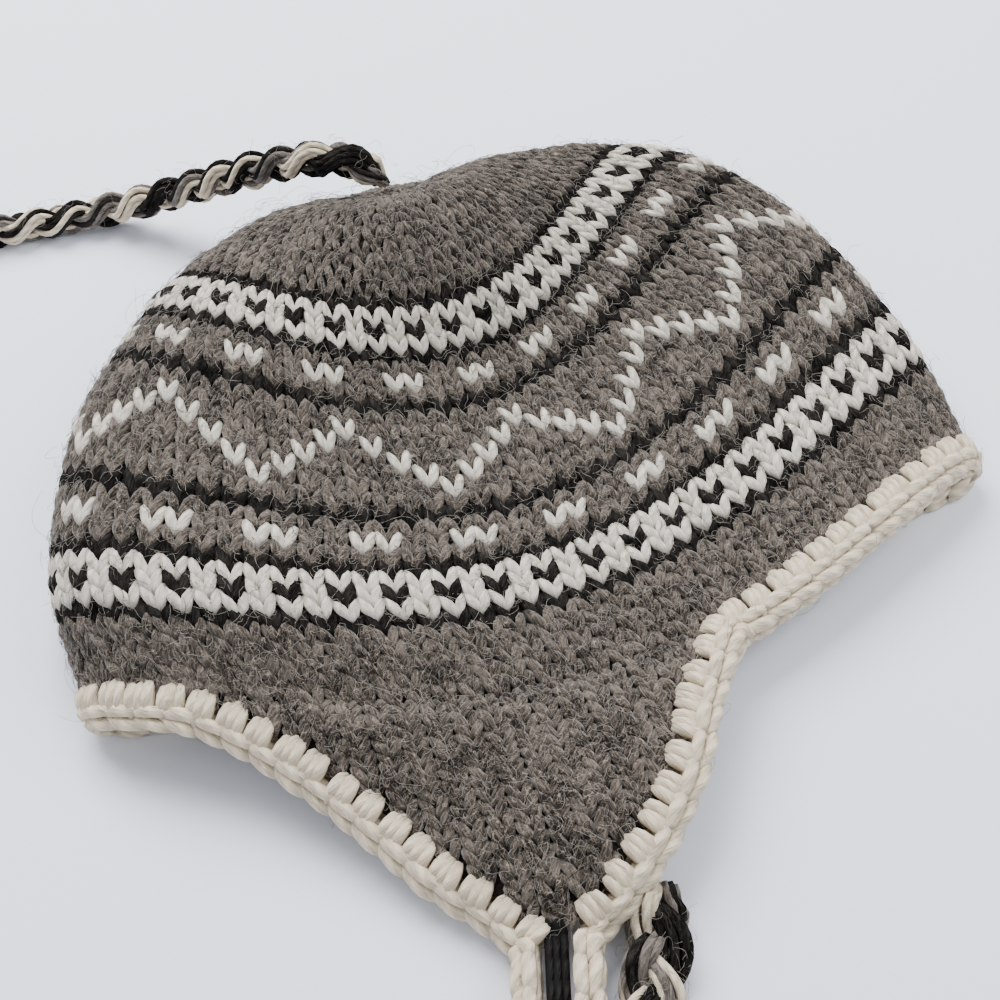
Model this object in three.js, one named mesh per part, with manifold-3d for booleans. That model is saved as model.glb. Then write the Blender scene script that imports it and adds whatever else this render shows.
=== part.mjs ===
import * as THREE from 'three';
import Module from 'manifold-3d';

const wasm = await Module();
wasm.setup();
const { Manifold } = wasm;

// Knitted earflap hat lying on its side. Millimetres, X along the rim, +Y from the rim
// to the crown, the floor at Z 0. Row 0 is the rim and row 43 the centre of the crown.
const CLOTH = 5.0;
const CLOTH_HALF = CLOTH / 2;
const FLOOR_LAYER_Z = 2.5;
const BAND_TOP_ROW = 30;
const CROWN_ROW = 43;
const SEAM_GAP = 0.7;
const TRIM_GAP = 1.5;
const TRIM_WIDTH = 7.4;
const TRIM_HALF_THICK = 2.8;
const TRIM_FLOOR_Z = 3.2;

// One line for each ring of the wall: centre and half width across, the height of the two
// side folds along Y and Z, and how far the upper layer bows, skews and swells between them.
const SECTION_COLUMNS = [
  'row', 'centreX', 'halfWidth', 'sideY', 'yaw', 'sideZ', 'bow', 'skew', 'square',
  'rise', 'lean', 'lobes', 'underY', 'underZ', 'foldDrop',
];
const SECTIONS = [
  [0, -5, 131, 0, -2, 12, -36, 5, 7, 8, -3, 4, -8, 2.5, 4],
  [8, -4, 133, 42, 2, 20, -44, 6, 5, 5, -8, 7, 32, 2.5, 8],
  [16, -1, 122, 90, 5, 30, -53, 6, 7, -5, -6, 6, 72, 2.5, 12],
  [24, 1, 101, 125, 7, 33, -49, 13, 8, -4, -8, 6, 112, 2.5, 13],
  [31, -2, 76, 143, 4, 35, -41, 13, 9, 4, -7, 0, 146, 4, 14],
  [37, -6, 41, 146, -1, 38, -25, 8, 6, 10, -4, -3, 161, 18, 10],
  [43, -10, 4, 139, 0, 36, -3, 0, 0, 0, 0, 0, 142, 35, 0],
];

// Edges of the ear flaps by knitted row below the rim, and how far the cloth between arches.
const FLAP_COLUMNS = ['row', 'leftX', 'leftY', 'leftZ', 'rightX', 'rightY', 'rightZ', 'arch'];
const UPPER_FLAP = [
  [0, -110, -17, 20, 27, -38, 16, 0],
  [2, -98, -28, 19, 16, -49, 19, 2],
  [5, -85.5, -43, 16, 7, -60, 19, 3],
  [9, -73.5, -60, 13, -3, -74, 19, 4],
  [13, -63.5, -77, 11, -17, -87, 17, 4],
  [16, -56, -89.5, 10, -32, -97, 14, 3],
  [19, -51, -101, 9, -46, -101, 10, 0],
];
const UNDER_FLAP = [
  [0, -66, -8, 2.5, 50, -8, 2.5, 0],
  [2, -58, -17, 2.5, 38, -18, 2.5, 0],
  [5, -49, -31, 2.5, 27, -33, 2.5, 0],
  [9, -41, -48, 2.5, 15, -51, 2.5, 0],
  [13, -34, -64, 2.5, 3, -66, 2.5, 0],
  [16, -28, -75, 2.5, -7, -76, 2.5, 0],
  [19, -20, -85, 2.5, -15, -85, 2.5, 0],
];
const FLAP_ROWS = [0, 1, 2, 3.5, 5, 7, 9, 11, 13, 14.5, 16, 17.5, 19];
const UPPER_TIP_REACH = 15;
const UNDER_TIP_REACH = 2;

// Angles round a quarter of a ring, closer together near the side folds.
const QUARTER = [0, 0.035, 0.08, 0.14, 0.22, 0.32, 0.45, 0.6, 0.78, 0.97, 1.17, 1.37];

// Middle lines of the three plaited cords, from the root to the end.
const TOP_BRAID_RADIUS = 5.5;
const FLAP_BRAID_RADIUS = 6.6;
const TOP_BRAID = [
  [-12.5, 138, 44], [-14.5, 138, 48.5], [-17.5, 139.5, 51], [-22, 143, 51.5], [-28, 148.5, 50],
  [-35, 155, 46.5], [-42.5, 162, 41.5], [-50, 168.5, 36], [-65.5, 182, 24.5], [-82, 194.5, 13.5],
  [-92.5, 200.5, 8.5], [-102, 203.5, 6.2], [-118, 205, 5.7], [-138, 206.5, 5.7],
  [-158, 209.5, 5.7], [-178, 214, 5.7], [-194, 220, 5.7],
];
const UNDER_BRAID = [
  [-20, -105, 6.9], [-23.5, -112, 6.8], [-28, -120, 6.8], [-34, -131, 6.8], [-38, -146, 6.8],
  [-40, -166, 6.8], [-39, -187, 6.8], [-36, -206, 6.8],
];
const UPPER_BRAID = [
  [-50.5, -126.5, 7.6], [-52.5, -134, 6.9], [-57, -147, 6.8], [-64, -161, 6.8], [-72, -177, 6.8],
  [-79, -194, 6.8], [-83, -211, 6.8], [-84, -225, 6.8],
];

const record = (columns, line) => Object.fromEntries(columns.map((name, i) => [name, line[i]]));

// Smooth curve through the lines of a table, read at any row.
function readTable(columns, table, row) {
  let i = 0;
  while (i < table.length - 2 && row > table[i + 1][0]) i += 1;
  const slope = (k, c) => {
    const a = table[Math.max(k - 1, 0)];
    const b = table[Math.min(k + 1, table.length - 1)];
    return (b[c] - a[c]) / (b[0] - a[0]);
  };
  const p = table[i];
  const q = table[i + 1];
  const h = q[0] - p[0];
  const t = (row - p[0]) / h;
  const line = p.map((v, c) => {
    if (c === 0) return row;
    const a = 2 * t ** 3 - 3 * t ** 2 + 1;
    const b = t ** 3 - 2 * t ** 2 + t;
    const d = t ** 3 - t ** 2;
    return a * v + b * h * slope(i, c) + (1 - a) * q[c] + d * h * slope(i + 1, c);
  });
  return record(columns, line);
}

const sectionCache = new Map();
function section(row) {
  if (!sectionCache.has(row)) sectionCache.set(row, readTable(SECTION_COLUMNS, SECTIONS, row));
  return sectionCache.get(row);
}

// Middle of the cloth. The angle runs from PI at the left fold over the upper layer to 0 at
// the right fold, then on to minus PI along the layer that lies on the floor.
function wallPoint(turn, row) {
  const k = section(row);
  const angle = turn > Math.PI ? turn - 2 * Math.PI : turn;
  const c = Math.cos(angle);
  const s = Math.abs(Math.sin(angle));
  const x = k.centreX + k.halfWidth * c;
  const base = k.sideY + k.yaw * c;
  if (angle >= 0) {
    const y = base + k.bow * s + k.skew * Math.sin(2 * angle) + k.square * Math.sin(3 * angle);
    const swell = k.rise * s + k.lean * Math.sin(2 * angle) + k.lobes * Math.sin(3 * angle);
    return new THREE.Vector3(x, y, k.sideZ + swell - k.foldDrop * (1 - s) ** 3);
  }
  const under = Math.max(FLOOR_LAYER_Z, k.underZ);
  const drop = (k.sideZ - k.foldDrop - under) * (1 - s) ** 3.5;
  return new THREE.Vector3(x, base + (k.underY - k.sideY) * s, under + drop);
}

function wallNormal(angle, row) {
  const da = 0.004;
  const dr = 0.05;
  const low = Math.max(0, row - dr);
  const high = Math.min(CROWN_ROW, row + dr);
  const across = wallPoint(angle - da, row).sub(wallPoint(angle + da, row));
  const along = wallPoint(angle, high).sub(wallPoint(angle, low));
  return across.cross(along).normalize();
}

// Point beside a ring of the wall, a short way towards the crown, or the rim if negative.
function besideRing(angle, row, shift) {
  const across = wallPoint(angle - 0.004, row).sub(wallPoint(angle + 0.004, row));
  const away = wallNormal(angle, row).cross(across).normalize();
  return wallPoint(angle, row).addScaledVector(away, shift);
}

function flapPoint(table, rimAt, row, u) {
  const k = readTable(FLAP_COLUMNS, table, row);
  const left = new THREE.Vector3(k.leftX, k.leftY, k.leftZ);
  const right = new THREE.Vector3(k.rightX, k.rightY, k.rightZ);
  const point = left.lerp(right, u);
  point.z += k.arch * 4 * u * (1 - u);
  const first = table[0];
  const chord = new THREE.Vector3(first[1], first[2], first[3]);
  chord.lerp(new THREE.Vector3(first[4], first[5], first[6]), u);
  const fade = (1 - row / 19) ** 2.5;
  return point.add(rimAt(u).sub(chord).multiplyScalar(fade));
}

function angleWhere(side, x) {
  const k = section(0);
  return side * Math.acos((x - k.centreX) / k.halfWidth);
}

const UPPER_LEFT = angleWhere(1, UPPER_FLAP[0][1]);
const UPPER_RIGHT = angleWhere(1, UPPER_FLAP[0][4]);
const UNDER_LEFT = angleWhere(-1, UNDER_FLAP[0][1]);
const UNDER_RIGHT = angleWhere(-1, UNDER_FLAP[0][4]);

const rimUpper = (u) => wallPoint(UPPER_LEFT + (UPPER_RIGHT - UPPER_LEFT) * u, 0);
const rimUnder = (u) => wallPoint(UNDER_LEFT + (UNDER_RIGHT - UNDER_LEFT) * u, 0);
const upperFlap = (row, u) => flapPoint(UPPER_FLAP, rimUpper, row, u);
const underFlap = (row, u) => flapPoint(UNDER_FLAP, rimUnder, row, u);

// Angles of the columns round the wall, with the four flap corners let in.
function ringAngles() {
  const quarter = [...QUARTER, Math.PI / 2];
  const half = [...QUARTER, ...quarter.map((a) => Math.PI - a).reverse()];
  const top = half.map((a) => Math.PI - a);
  const all = [...top, ...half.slice(1, -1).map((a) => -a)];
  for (const corner of [UPPER_LEFT, UPPER_RIGHT, UNDER_LEFT, UNDER_RIGHT]) {
    const nearest = all.reduce((best, a, i) => {
      return Math.abs(a - corner) < Math.abs(all[best] - corner) ? i : best;
    }, 0);
    if (Math.abs(all[nearest] - corner) < 0.05) all[nearest] = corner;
    else all.push(corner);
  }
  return all.sort((a, b) => b - a);
}
const RING = ringAngles();

class Solid {
  constructor() {
    this.points = [];
    this.faces = [];
  }

  add(v) {
    this.points.push(v.x, v.y, v.z);
    return this.points.length / 3 - 1;
  }

  quad(a, b, c, d) {
    this.faces.push(a, b, c, a, c, d);
  }

  geometry() {
    const g = new THREE.BufferGeometry();
    g.setAttribute('position', new THREE.Float32BufferAttribute(this.points, 3));
    g.setIndex(this.faces);
    return g;
  }
}

// Two offset skins of a grid of cloth points joined at the edges into one closed sheet.
function thickSheet(rows, columns, closedRound, pointAt, normalAt, apex) {
  const solid = new Solid();
  const outer = [];
  const inner = [];
  for (const r of rows) {
    const a = [];
    const b = [];
    for (const c of columns) {
      const p = pointAt(c, r);
      const n = normalAt(c, r);
      a.push(solid.add(p.clone().addScaledVector(n, CLOTH_HALF)));
      b.push(solid.add(p.clone().addScaledVector(n, -CLOTH_HALF)));
    }
    outer.push(a);
    inner.push(b);
  }
  const count = columns.length;
  const steps = closedRound ? count : count - 1;
  const last = rows.length - 1;
  for (let i = 0; i < last; i += 1) {
    for (let j = 0; j < steps; j += 1) {
      const k = (j + 1) % count;
      solid.quad(outer[i][j], outer[i][k], outer[i + 1][k], outer[i + 1][j]);
      solid.quad(inner[i][k], inner[i][j], inner[i + 1][j], inner[i + 1][k]);
    }
  }
  for (let j = 0; j < steps; j += 1) {
    const k = (j + 1) % count;
    solid.quad(outer[0][k], outer[0][j], inner[0][j], inner[0][k]);
    if (!apex) solid.quad(outer[last][k], inner[last][k], inner[last][j], outer[last][j]);
  }
  if (!closedRound) {
    const e = count - 1;
    for (let i = 0; i < last; i += 1) {
      solid.quad(outer[i][0], outer[i + 1][0], inner[i + 1][0], inner[i][0]);
      solid.quad(outer[i + 1][e], outer[i][e], inner[i][e], inner[i + 1][e]);
    }
  }
  if (apex) {
    const top = solid.add(apex.point.clone().addScaledVector(apex.normal, CLOTH_HALF));
    const low = solid.add(apex.point.clone().addScaledVector(apex.normal, -CLOTH_HALF));
    for (let j = 0; j < count; j += 1) {
      const k = (j + 1) % count;
      solid.faces.push(outer[last][j], outer[last][k], top);
      solid.faces.push(inner[last][k], inner[last][j], low);
    }
  }
  return solid.geometry();
}

const beside = (shift) => (angle, row) => {
  return row === BAND_TOP_ROW ? besideRing(angle, row, shift) : wallPoint(angle, row);
};
const wallRows = [0, 2, 4.5, 7, 9.5, 12, 14.5, 17, 19.5, 22, 24.5, 27, BAND_TOP_ROW];
const body = thickSheet(wallRows, RING, true, beside(-SEAM_GAP / 2), wallNormal, null);

const crownRows = [BAND_TOP_ROW, 32, 34, 36, 38, 39.7, 41.2];
const crownColumns = RING.filter((a, i) => i % 2 === 0);
const tip = new THREE.Vector3();
const tipNormal = new THREE.Vector3();
for (const a of crownColumns) {
  tip.add(wallPoint(a, 42.6));
  tipNormal.add(wallNormal(a, 41.2));
}
tip.divideScalar(crownColumns.length);
tipNormal.normalize();
const crown = thickSheet(crownRows, RING, true, beside(SEAM_GAP / 2), wallNormal, {
  point: tip,
  normal: tipNormal,
});

function flapNormal(flap, row, u, down) {
  const lowRow = Math.max(0, row - 0.1);
  const highRow = Math.min(19, row + 0.1);
  const along = flap(highRow, u).sub(flap(lowRow, u));
  const across = flap(row, Math.min(1, u + 0.01)).sub(flap(row, Math.max(0, u - 0.01)));
  const n = along.cross(across).normalize();
  if (down) return new THREE.Vector3(0, 0, -1);
  return n.z < 0 ? n.negate() : n;
}

function flapSolid(flap, from, to, down) {
  const inside = RING.filter((a) => a <= from + 0.0001 && a >= to - 0.0001);
  const columns = inside.map((angle) => ({ angle, u: (angle - from) / (to - from) }));
  columns.reverse();
  const pointAt = (c, r) => {
    const u = down ? 1 - c.u : c.u;
    return r === 0 ? besideRing(c.angle, 0, -SEAM_GAP) : flap(r, u);
  };
  const normalAt = (c, r) => {
    const u = down ? 1 - c.u : c.u;
    return r === 0 ? wallNormal(c.angle, 0) : flapNormal(flap, r, u, down);
  };
  return thickSheet(FLAP_ROWS, columns, false, pointAt, normalAt, null);
}
const flapUpper = flapSolid(upperFlap, UPPER_LEFT, UPPER_RIGHT, false);
const flapUnder = flapSolid(underFlap, UNDER_RIGHT, UNDER_LEFT, true);

// The line the trim follows: the rim outside the flaps and both edges of each flap.
function trimStations() {
  const list = [];
  const push = (point, normal) => list.push({ point, normal });
  const rim = (from, to) => {
    for (const a of RING) if (a < from - 0.001 && a > to + 0.001) push(wallPoint(a, 0), wallNormal(a, 0));
  };
  const round = (flap, reach, down) => {
    const n = (row, u) => flapNormal(flap, row, u, down);
    const first = down ? 1 : 0;
    const side = (u, rows) => rows.forEach((r) => push(flap(r, u), n(r, u)));
    side(first, FLAP_ROWS);
    const a = flap(19, first);
    const b = flap(19, 1 - first);
    const away = flap(19, 0.5).sub(flap(17.5, 0.5)).setZ(0).normalize();
    const up = n(19, 0.5);
    push(a.clone().addScaledVector(away, reach * 0.55), up);
    push(a.clone().lerp(b, 0.12).addScaledVector(away, reach), up);
    push(b.clone().lerp(a, 0.12).addScaledVector(away, reach), up);
    push(b.clone().addScaledVector(away, reach * 0.55), up);
    side(1 - first, FLAP_ROWS.slice().reverse());
  };
  rim(Math.PI + 1, UPPER_LEFT);
  round(upperFlap, UPPER_TIP_REACH, false);
  rim(UPPER_RIGHT, UNDER_RIGHT);
  round(underFlap, UNDER_TIP_REACH, true);
  rim(UNDER_LEFT, -Math.PI - 1);
  return list;
}

function trim() {
  const stations = trimStations();
  const n = stations.length;
  const solid = new Solid();
  const half = TRIM_HALF_THICK;
  const profile = [
    [TRIM_GAP, -2.1], [TRIM_WIDTH * 0.45, -half], [TRIM_GAP + TRIM_WIDTH, -1.4],
    [TRIM_GAP + TRIM_WIDTH, 1.4], [TRIM_WIDTH * 0.45, half], [TRIM_GAP, 2.1],
  ];
  const rings = stations.map((s, i) => {
    const before = stations[(i + n - 1) % n].point;
    const after = stations[(i + 1) % n].point;
    const d1 = s.point.clone().sub(before).normalize();
    const d2 = after.clone().sub(s.point).normalize();
    const along = d1.clone().add(d2).normalize();
    const out = s.normal.clone().cross(along).normalize().negate();
    const stretch = Math.min(1.25, 1 / Math.max(0.5, Math.sqrt((1 + d1.dot(d2)) / 2)));
    const up = along.clone().cross(out).normalize();
    const base = s.point.clone();
    base.z = Math.max(base.z, TRIM_FLOOR_Z);
    return profile.map(([w, h]) => {
      const v = base.clone().addScaledVector(out, w * stretch).addScaledVector(up, h);
      return solid.add(v);
    });
  });
  const m = profile.length;
  for (let i = 0; i < n; i += 1) {
    const a = rings[i];
    const b = rings[(i + 1) % n];
    for (let j = 0; j < m; j += 1) {
      const k = (j + 1) % m;
      solid.quad(a[j], a[k], b[k], b[j]);
    }
  }
  return solid.geometry();
}
const edging = trim();

// A plaited cord as a plain round rope along its middle line.
function rope(points, radius, steps) {
  const corners = points.map((p) => new THREE.Vector3(...p));
  const line = new THREE.CatmullRomCurve3(corners, false, 'centripetal');
  const round = Array.from({ length: 10 }, (v, i) => {
    const a = (i / 10) * 2 * Math.PI;
    return new THREE.Vector2(radius * Math.cos(a), radius * Math.sin(a));
  });
  return new THREE.ExtrudeGeometry(new THREE.Shape(round), {
    steps,
    bevelEnabled: false,
    extrudePath: line,
  });
}

// Solid on a middle line whose radius follows a short list, closed at both ends.
function taper(from, direction, profile, flat) {
  const d = direction.clone().normalize();
  const side = new THREE.Vector3(-d.y, d.x, 0).normalize();
  const up = d.clone().cross(side).normalize();
  const sides = 10;
  const points = [];
  for (const [at, r] of profile) {
    for (let j = 0; j < sides; j += 1) {
      const a = (j / sides) * 2 * Math.PI;
      const v = from.clone().addScaledVector(d, at);
      v.addScaledVector(side, r * Math.cos(a)).addScaledVector(up, r * flat * Math.sin(a));
      points.push([v.x, v.y, v.z]);
    }
  }
  return Manifold.hull(points);
}

// Knot at the end of a cord with the loose yarn ends fanning out of it along the floor.
function tassel(line, ropeRadius, knotRadius, length, fan) {
  const end = new THREE.Vector3(...line[line.length - 1]);
  const before = new THREE.Vector3(...line[line.length - 2]);
  const way = end.clone().sub(before).setZ(0).normalize();
  const knot = end.clone().addScaledVector(way, knotRadius + 0.4);
  knot.z = knotRadius * 0.85 + 0.1;
  const reach = knotRadius;
  const ball = [[-reach, 3], [-reach * 0.6, reach * 0.82], [0, reach], [reach * 0.6, reach * 0.82], [reach, 4]];
  const parts = [taper(knot, way, ball, 0.85)];
  for (const [turn, size, rise] of fan) {
    const out = way.clone().applyAxisAngle(new THREE.Vector3(0, 0, 1), turn);
    const root = knot.clone().addScaledVector(way, reach * 0.45);
    const drop = rise + size * 0.8 - root.z;
    const aim = out.clone().multiplyScalar(length).add(new THREE.Vector3(0, 0, drop));
    const lock = [[0, size * 0.9], [length * 0.45, size], [length * 0.85, size * 0.8], [length, size * 0.35]];
    parts.push(taper(root, aim, lock, 0.8));
  }
  const joined = Manifold.union(parts);
  const mesh = joined.getMesh();
  const g = new THREE.BufferGeometry();
  g.setAttribute('position', new THREE.Float32BufferAttribute(Array.from(mesh.vertProperties), 3));
  g.setIndex(Array.from(mesh.triVerts));
  return g;
}
const TOP_FAN = [[-0.2, 3.2, 0.6], [0.16, 3.4, 0.4], [-0.02, 3.3, 4.2]];
const FLAP_FAN = [[-0.24, 3.6, 0.5], [0.22, 3.8, 0.5], [0.0, 3.8, 1.2], [-0.06, 3.4, 6.0]];

const WOOL_GREY = new THREE.MeshStandardMaterial({ color: 0x5b524d, roughness: 0.95, name: 'grey_wool' });
const WOOL_DARK = new THREE.MeshStandardMaterial({ color: 0x2e2c2a, roughness: 0.95, name: 'dark_wool' });
const WOOL_CREAM = new THREE.MeshStandardMaterial({ color: 0xe4dccb, roughness: 0.95, name: 'cream_wool' });
const WOOL_PLAIT = new THREE.MeshStandardMaterial({ color: 0x6a635c, roughness: 0.95, name: 'plaited_wool' });

const pieces = [
  ['body', body, WOOL_GREY],
  ['crown', crown, WOOL_GREY],
  ['ear_flap_upper', flapUpper, WOOL_GREY],
  ['ear_flap_under', flapUnder, WOOL_GREY],
  ['edging', edging, WOOL_CREAM],
  ['top_braid', rope(TOP_BRAID, TOP_BRAID_RADIUS, 26), WOOL_PLAIT],
  ['flap_braid_upper', rope(UPPER_BRAID, FLAP_BRAID_RADIUS, 14), WOOL_PLAIT],
  ['flap_braid_under', rope(UNDER_BRAID, FLAP_BRAID_RADIUS, 14), WOOL_PLAIT],
  ['top_tassel', tassel(TOP_BRAID, TOP_BRAID_RADIUS, 7.5, 34, TOP_FAN), WOOL_DARK],
  ['flap_tassel_upper', tassel(UPPER_BRAID, FLAP_BRAID_RADIUS, 9, 38, FLAP_FAN), WOOL_DARK],
  ['flap_tassel_under', tassel(UNDER_BRAID, FLAP_BRAID_RADIUS, 9, 38, FLAP_FAN), WOOL_DARK],
];

// The origin is under the middle of the hat, leaving out the cords.
const bounds = new THREE.Box3();
for (const [name, geometry] of pieces.slice(0, 5)) {
  geometry.computeBoundingBox();
  bounds.union(geometry.boundingBox);
}
const middle = bounds.getCenter(new THREE.Vector3());

const hat = new THREE.Group();
hat.name = 'chullo_hat';
for (const [name, geometry, material] of pieces) {
  geometry.translate(-middle.x, -middle.y, -bounds.min.z);
  const mesh = new THREE.Mesh(geometry, material);
  mesh.name = name;
  hat.add(mesh);
}
export default hat;
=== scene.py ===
import math

import bpy
import numpy as np
from mathutils import Matrix, Vector


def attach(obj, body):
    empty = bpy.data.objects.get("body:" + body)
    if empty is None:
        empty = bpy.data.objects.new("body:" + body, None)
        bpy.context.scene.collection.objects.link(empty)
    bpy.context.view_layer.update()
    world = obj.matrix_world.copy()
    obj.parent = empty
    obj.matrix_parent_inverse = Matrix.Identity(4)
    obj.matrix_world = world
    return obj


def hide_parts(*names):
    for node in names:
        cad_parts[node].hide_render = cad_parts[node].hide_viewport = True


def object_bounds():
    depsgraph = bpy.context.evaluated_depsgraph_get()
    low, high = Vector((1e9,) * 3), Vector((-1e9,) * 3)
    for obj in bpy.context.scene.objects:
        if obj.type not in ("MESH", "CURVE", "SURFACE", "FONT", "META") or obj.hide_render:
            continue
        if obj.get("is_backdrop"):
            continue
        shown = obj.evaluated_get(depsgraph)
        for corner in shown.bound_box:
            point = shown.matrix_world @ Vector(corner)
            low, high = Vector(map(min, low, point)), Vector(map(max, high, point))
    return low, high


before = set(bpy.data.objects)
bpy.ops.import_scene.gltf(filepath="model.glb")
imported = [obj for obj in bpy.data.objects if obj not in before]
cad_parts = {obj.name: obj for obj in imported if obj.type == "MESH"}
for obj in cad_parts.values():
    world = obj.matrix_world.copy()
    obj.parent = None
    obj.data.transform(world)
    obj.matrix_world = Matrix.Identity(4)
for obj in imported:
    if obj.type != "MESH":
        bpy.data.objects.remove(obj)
CAD_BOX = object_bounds()

bl_info = {
    "name": "Chullo hat",
    "version": (1, 0, 0),
    "blender": (4, 5, 0),
    "location": "3D View > Sidebar > Chullo",
    "description": "Knitted earflap hat with crochet edging, plaited cords and tassels",
    "category": "Object",
}

# Lengths are in millimetres until to_metres, with the rim along X, the crown towards +Y and the
# floor at Z 0. ORIGIN moves them to the part's own origin.
ORIGIN = np.array([4.22, -20.38, 0.0])
FLOOR_LAYER_Z = 2.5  # middle of the cloth that lies on the floor
LOWEST_Z = 0.12  # no yarn goes below this

# Rows are counted from the rim up, and wales round it from the left fold
CROWN_START = 30
CROWN_ROW = 43
LAST_RING = 42.9  # the last row that is read, just short of the table's end
WALES = 80
NARROW_START = 25
NARROW_WALES = 72
FIRST_WALE = 2.3  # where the chart starts
STITCH_WIDTH = 6.75  # of one wale at the rim

# row, centre x, half width, side y, yaw, side z, bow, skew, square, rise, lean, lobes,
# under y, under z, fold drop
SECTIONS = np.array([
    [0, -5, 131, 0, -2, 12, -36, 5, 7, 8, -3, 4, -8, 2.5, 4],
    [8, -4, 133, 42, 2, 20, -44, 6, 5, 5, -8, 7, 32, 2.5, 8],
    [16, -1, 122, 90, 5, 30, -53, 6, 7, -5, -6, 6, 72, 2.5, 12],
    [24, 1, 101, 125, 7, 33, -49, 13, 8, -4, -8, 6, 112, 2.5, 13],
    [31, -2, 76, 143, 4, 35, -41, 13, 9, 4, -7, 0, 146, 4, 14],
    [37, -6, 41, 146, -1, 38, -25, 8, 6, 10, -4, -3, 161, 18, 10],
    [43, -10, 4, 139, 0, 36, -3, 0, 0, 0, 0, 0, 142, 35, 0],
], float)

FLAP_ROWS = 19
BEYOND_TIP = np.array([-1.5, -4.3, 0.0])  # one row past the tip
# row below the rim, left edge x y z, right edge x y z, arch of the cloth between them
UPPER_FLAP = np.array([
    [0, -110, -17, 20, 27, -38, 16, 0],
    [2, -98, -28, 19, 16, -49, 19, 2],
    [5, -85.5, -43, 16, 7, -60, 19, 3],
    [9, -73.5, -60, 13, -3, -74, 19, 4],
    [13, -63.5, -77, 11, -17, -87, 17, 4],
    [16, -54, -89, 10, -30.5, -96, 14, 3],
    [19, -46.5, -101, 9, -42.5, -101, 10, 0],
], float)
UNDER_FLAP = np.array([
    [0, -66, -8, 2.5, 50, -8, 2.5, 0],
    [2, -58, -17, 2.5, 38, -18, 2.5, 0],
    [5, -49, -31, 2.5, 27, -33, 2.5, 0],
    [9, -41, -48, 2.5, 15, -51, 2.5, 0],
    [13, -34, -64, 2.5, 3, -66, 2.5, 0],
    [16, -28, -75, 2.5, -7, -76, 2.5, 0],
    [19, -20, -85, 2.5, -15, -85, 2.5, 0],
], float)

TOP_BRAID = np.array([
    [-12.5, 138, 44], [-14.5, 138, 48.5], [-17.5, 139.5, 51], [-22, 143, 51.5], [-28, 148.5, 50],
    [-35, 155, 46.5], [-42.5, 162, 41.5], [-50, 168.5, 36], [-65.5, 182, 24.5], [-82, 194.5, 13.5],
    [-92.5, 200.5, 8.5], [-102, 203.5, 6.2], [-118, 205, 5.7], [-138, 206.5, 5.7],
    [-158, 209.5, 5.7], [-178, 214, 5.7], [-194, 220, 5.7],
], float)
UNDER_BRAID = np.array([
    [-20, -105, 6.9], [-23.5, -112, 6.8], [-28, -120, 6.8], [-34, -131, 6.8], [-38, -146, 6.8],
    [-40, -166, 6.8], [-39, -187, 6.8], [-36, -206, 6.8],
], float)
UPPER_BRAID = np.array([
    [-50.5, -126.5, 7.6], [-52.5, -134, 6.9], [-57, -147, 6.8], [-64, -161, 6.8], [-72, -177, 6.8],
    [-79, -194, 6.8], [-83, -211, 6.8], [-84, -225, 6.8],
], float)
UNDER_START = [[-16.5, -97.5, 6.9]]  # under the trim, where the yarns begin before the solid cord
TOP_RADIUS = 5.5
FLAP_RADIUS = 6.6


def read_table(table, rows):
    """Smooth curve through the lines of a table, one line of values for each row asked."""
    rows = np.asarray(rows, float)
    key = table[:, 0]
    last = len(key) - 1
    i = np.clip(np.searchsorted(key, rows, side="left") - 1, 0, last - 1)

    def slope(k):
        a = np.maximum(k - 1, 0)
        b = np.minimum(k + 1, last)
        return (table[b] - table[a]) / (key[b] - key[a])[..., None]

    h = (key[i + 1] - key[i])[..., None]
    t = (rows - key[i])[..., None] / h
    a = 2 * t**3 - 3 * t**2 + 1
    b = t**3 - 2 * t**2 + t
    c = t**3 - t**2
    return a * table[i] + b * h * slope(i) + (1 - a) * table[i + 1] + c * h * slope(i + 1)


def wall(angle, row):
    """Middle of the cloth: angle PI at the left fold, over the upper layer to 0 at the right
    fold, and on to minus PI along the layer on the floor."""
    k = read_table(SECTIONS, row)
    _, cx, hw, sy, yaw, sz, bow, skew, square, rise, lean, lobes, uy, uz, fd = np.moveaxis(k, -1, 0)
    c = np.cos(angle)
    s = np.abs(np.sin(angle))
    s2 = np.sin(2 * angle)
    s3 = np.sin(3 * angle)
    top = angle >= 0
    base = sy + yaw * c
    under = np.maximum(FLOOR_LAYER_Z, uz)
    y = np.where(top, base + bow * s + skew * s2 + square * s3, base + (uy - sy) * s)
    high = sz + rise * s + lean * s2 + lobes * s3 - fd * (1 - s) ** 3
    low = under + (sz - fd - under) * (1 - s) ** 3.5
    return np.stack([cx + hw * c, y, np.where(top, high, low)], -1)


def unit(v):
    """Vectors of length 1."""
    return v / np.maximum(np.linalg.norm(v, axis=-1, keepdims=True), 1e-9)


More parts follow.
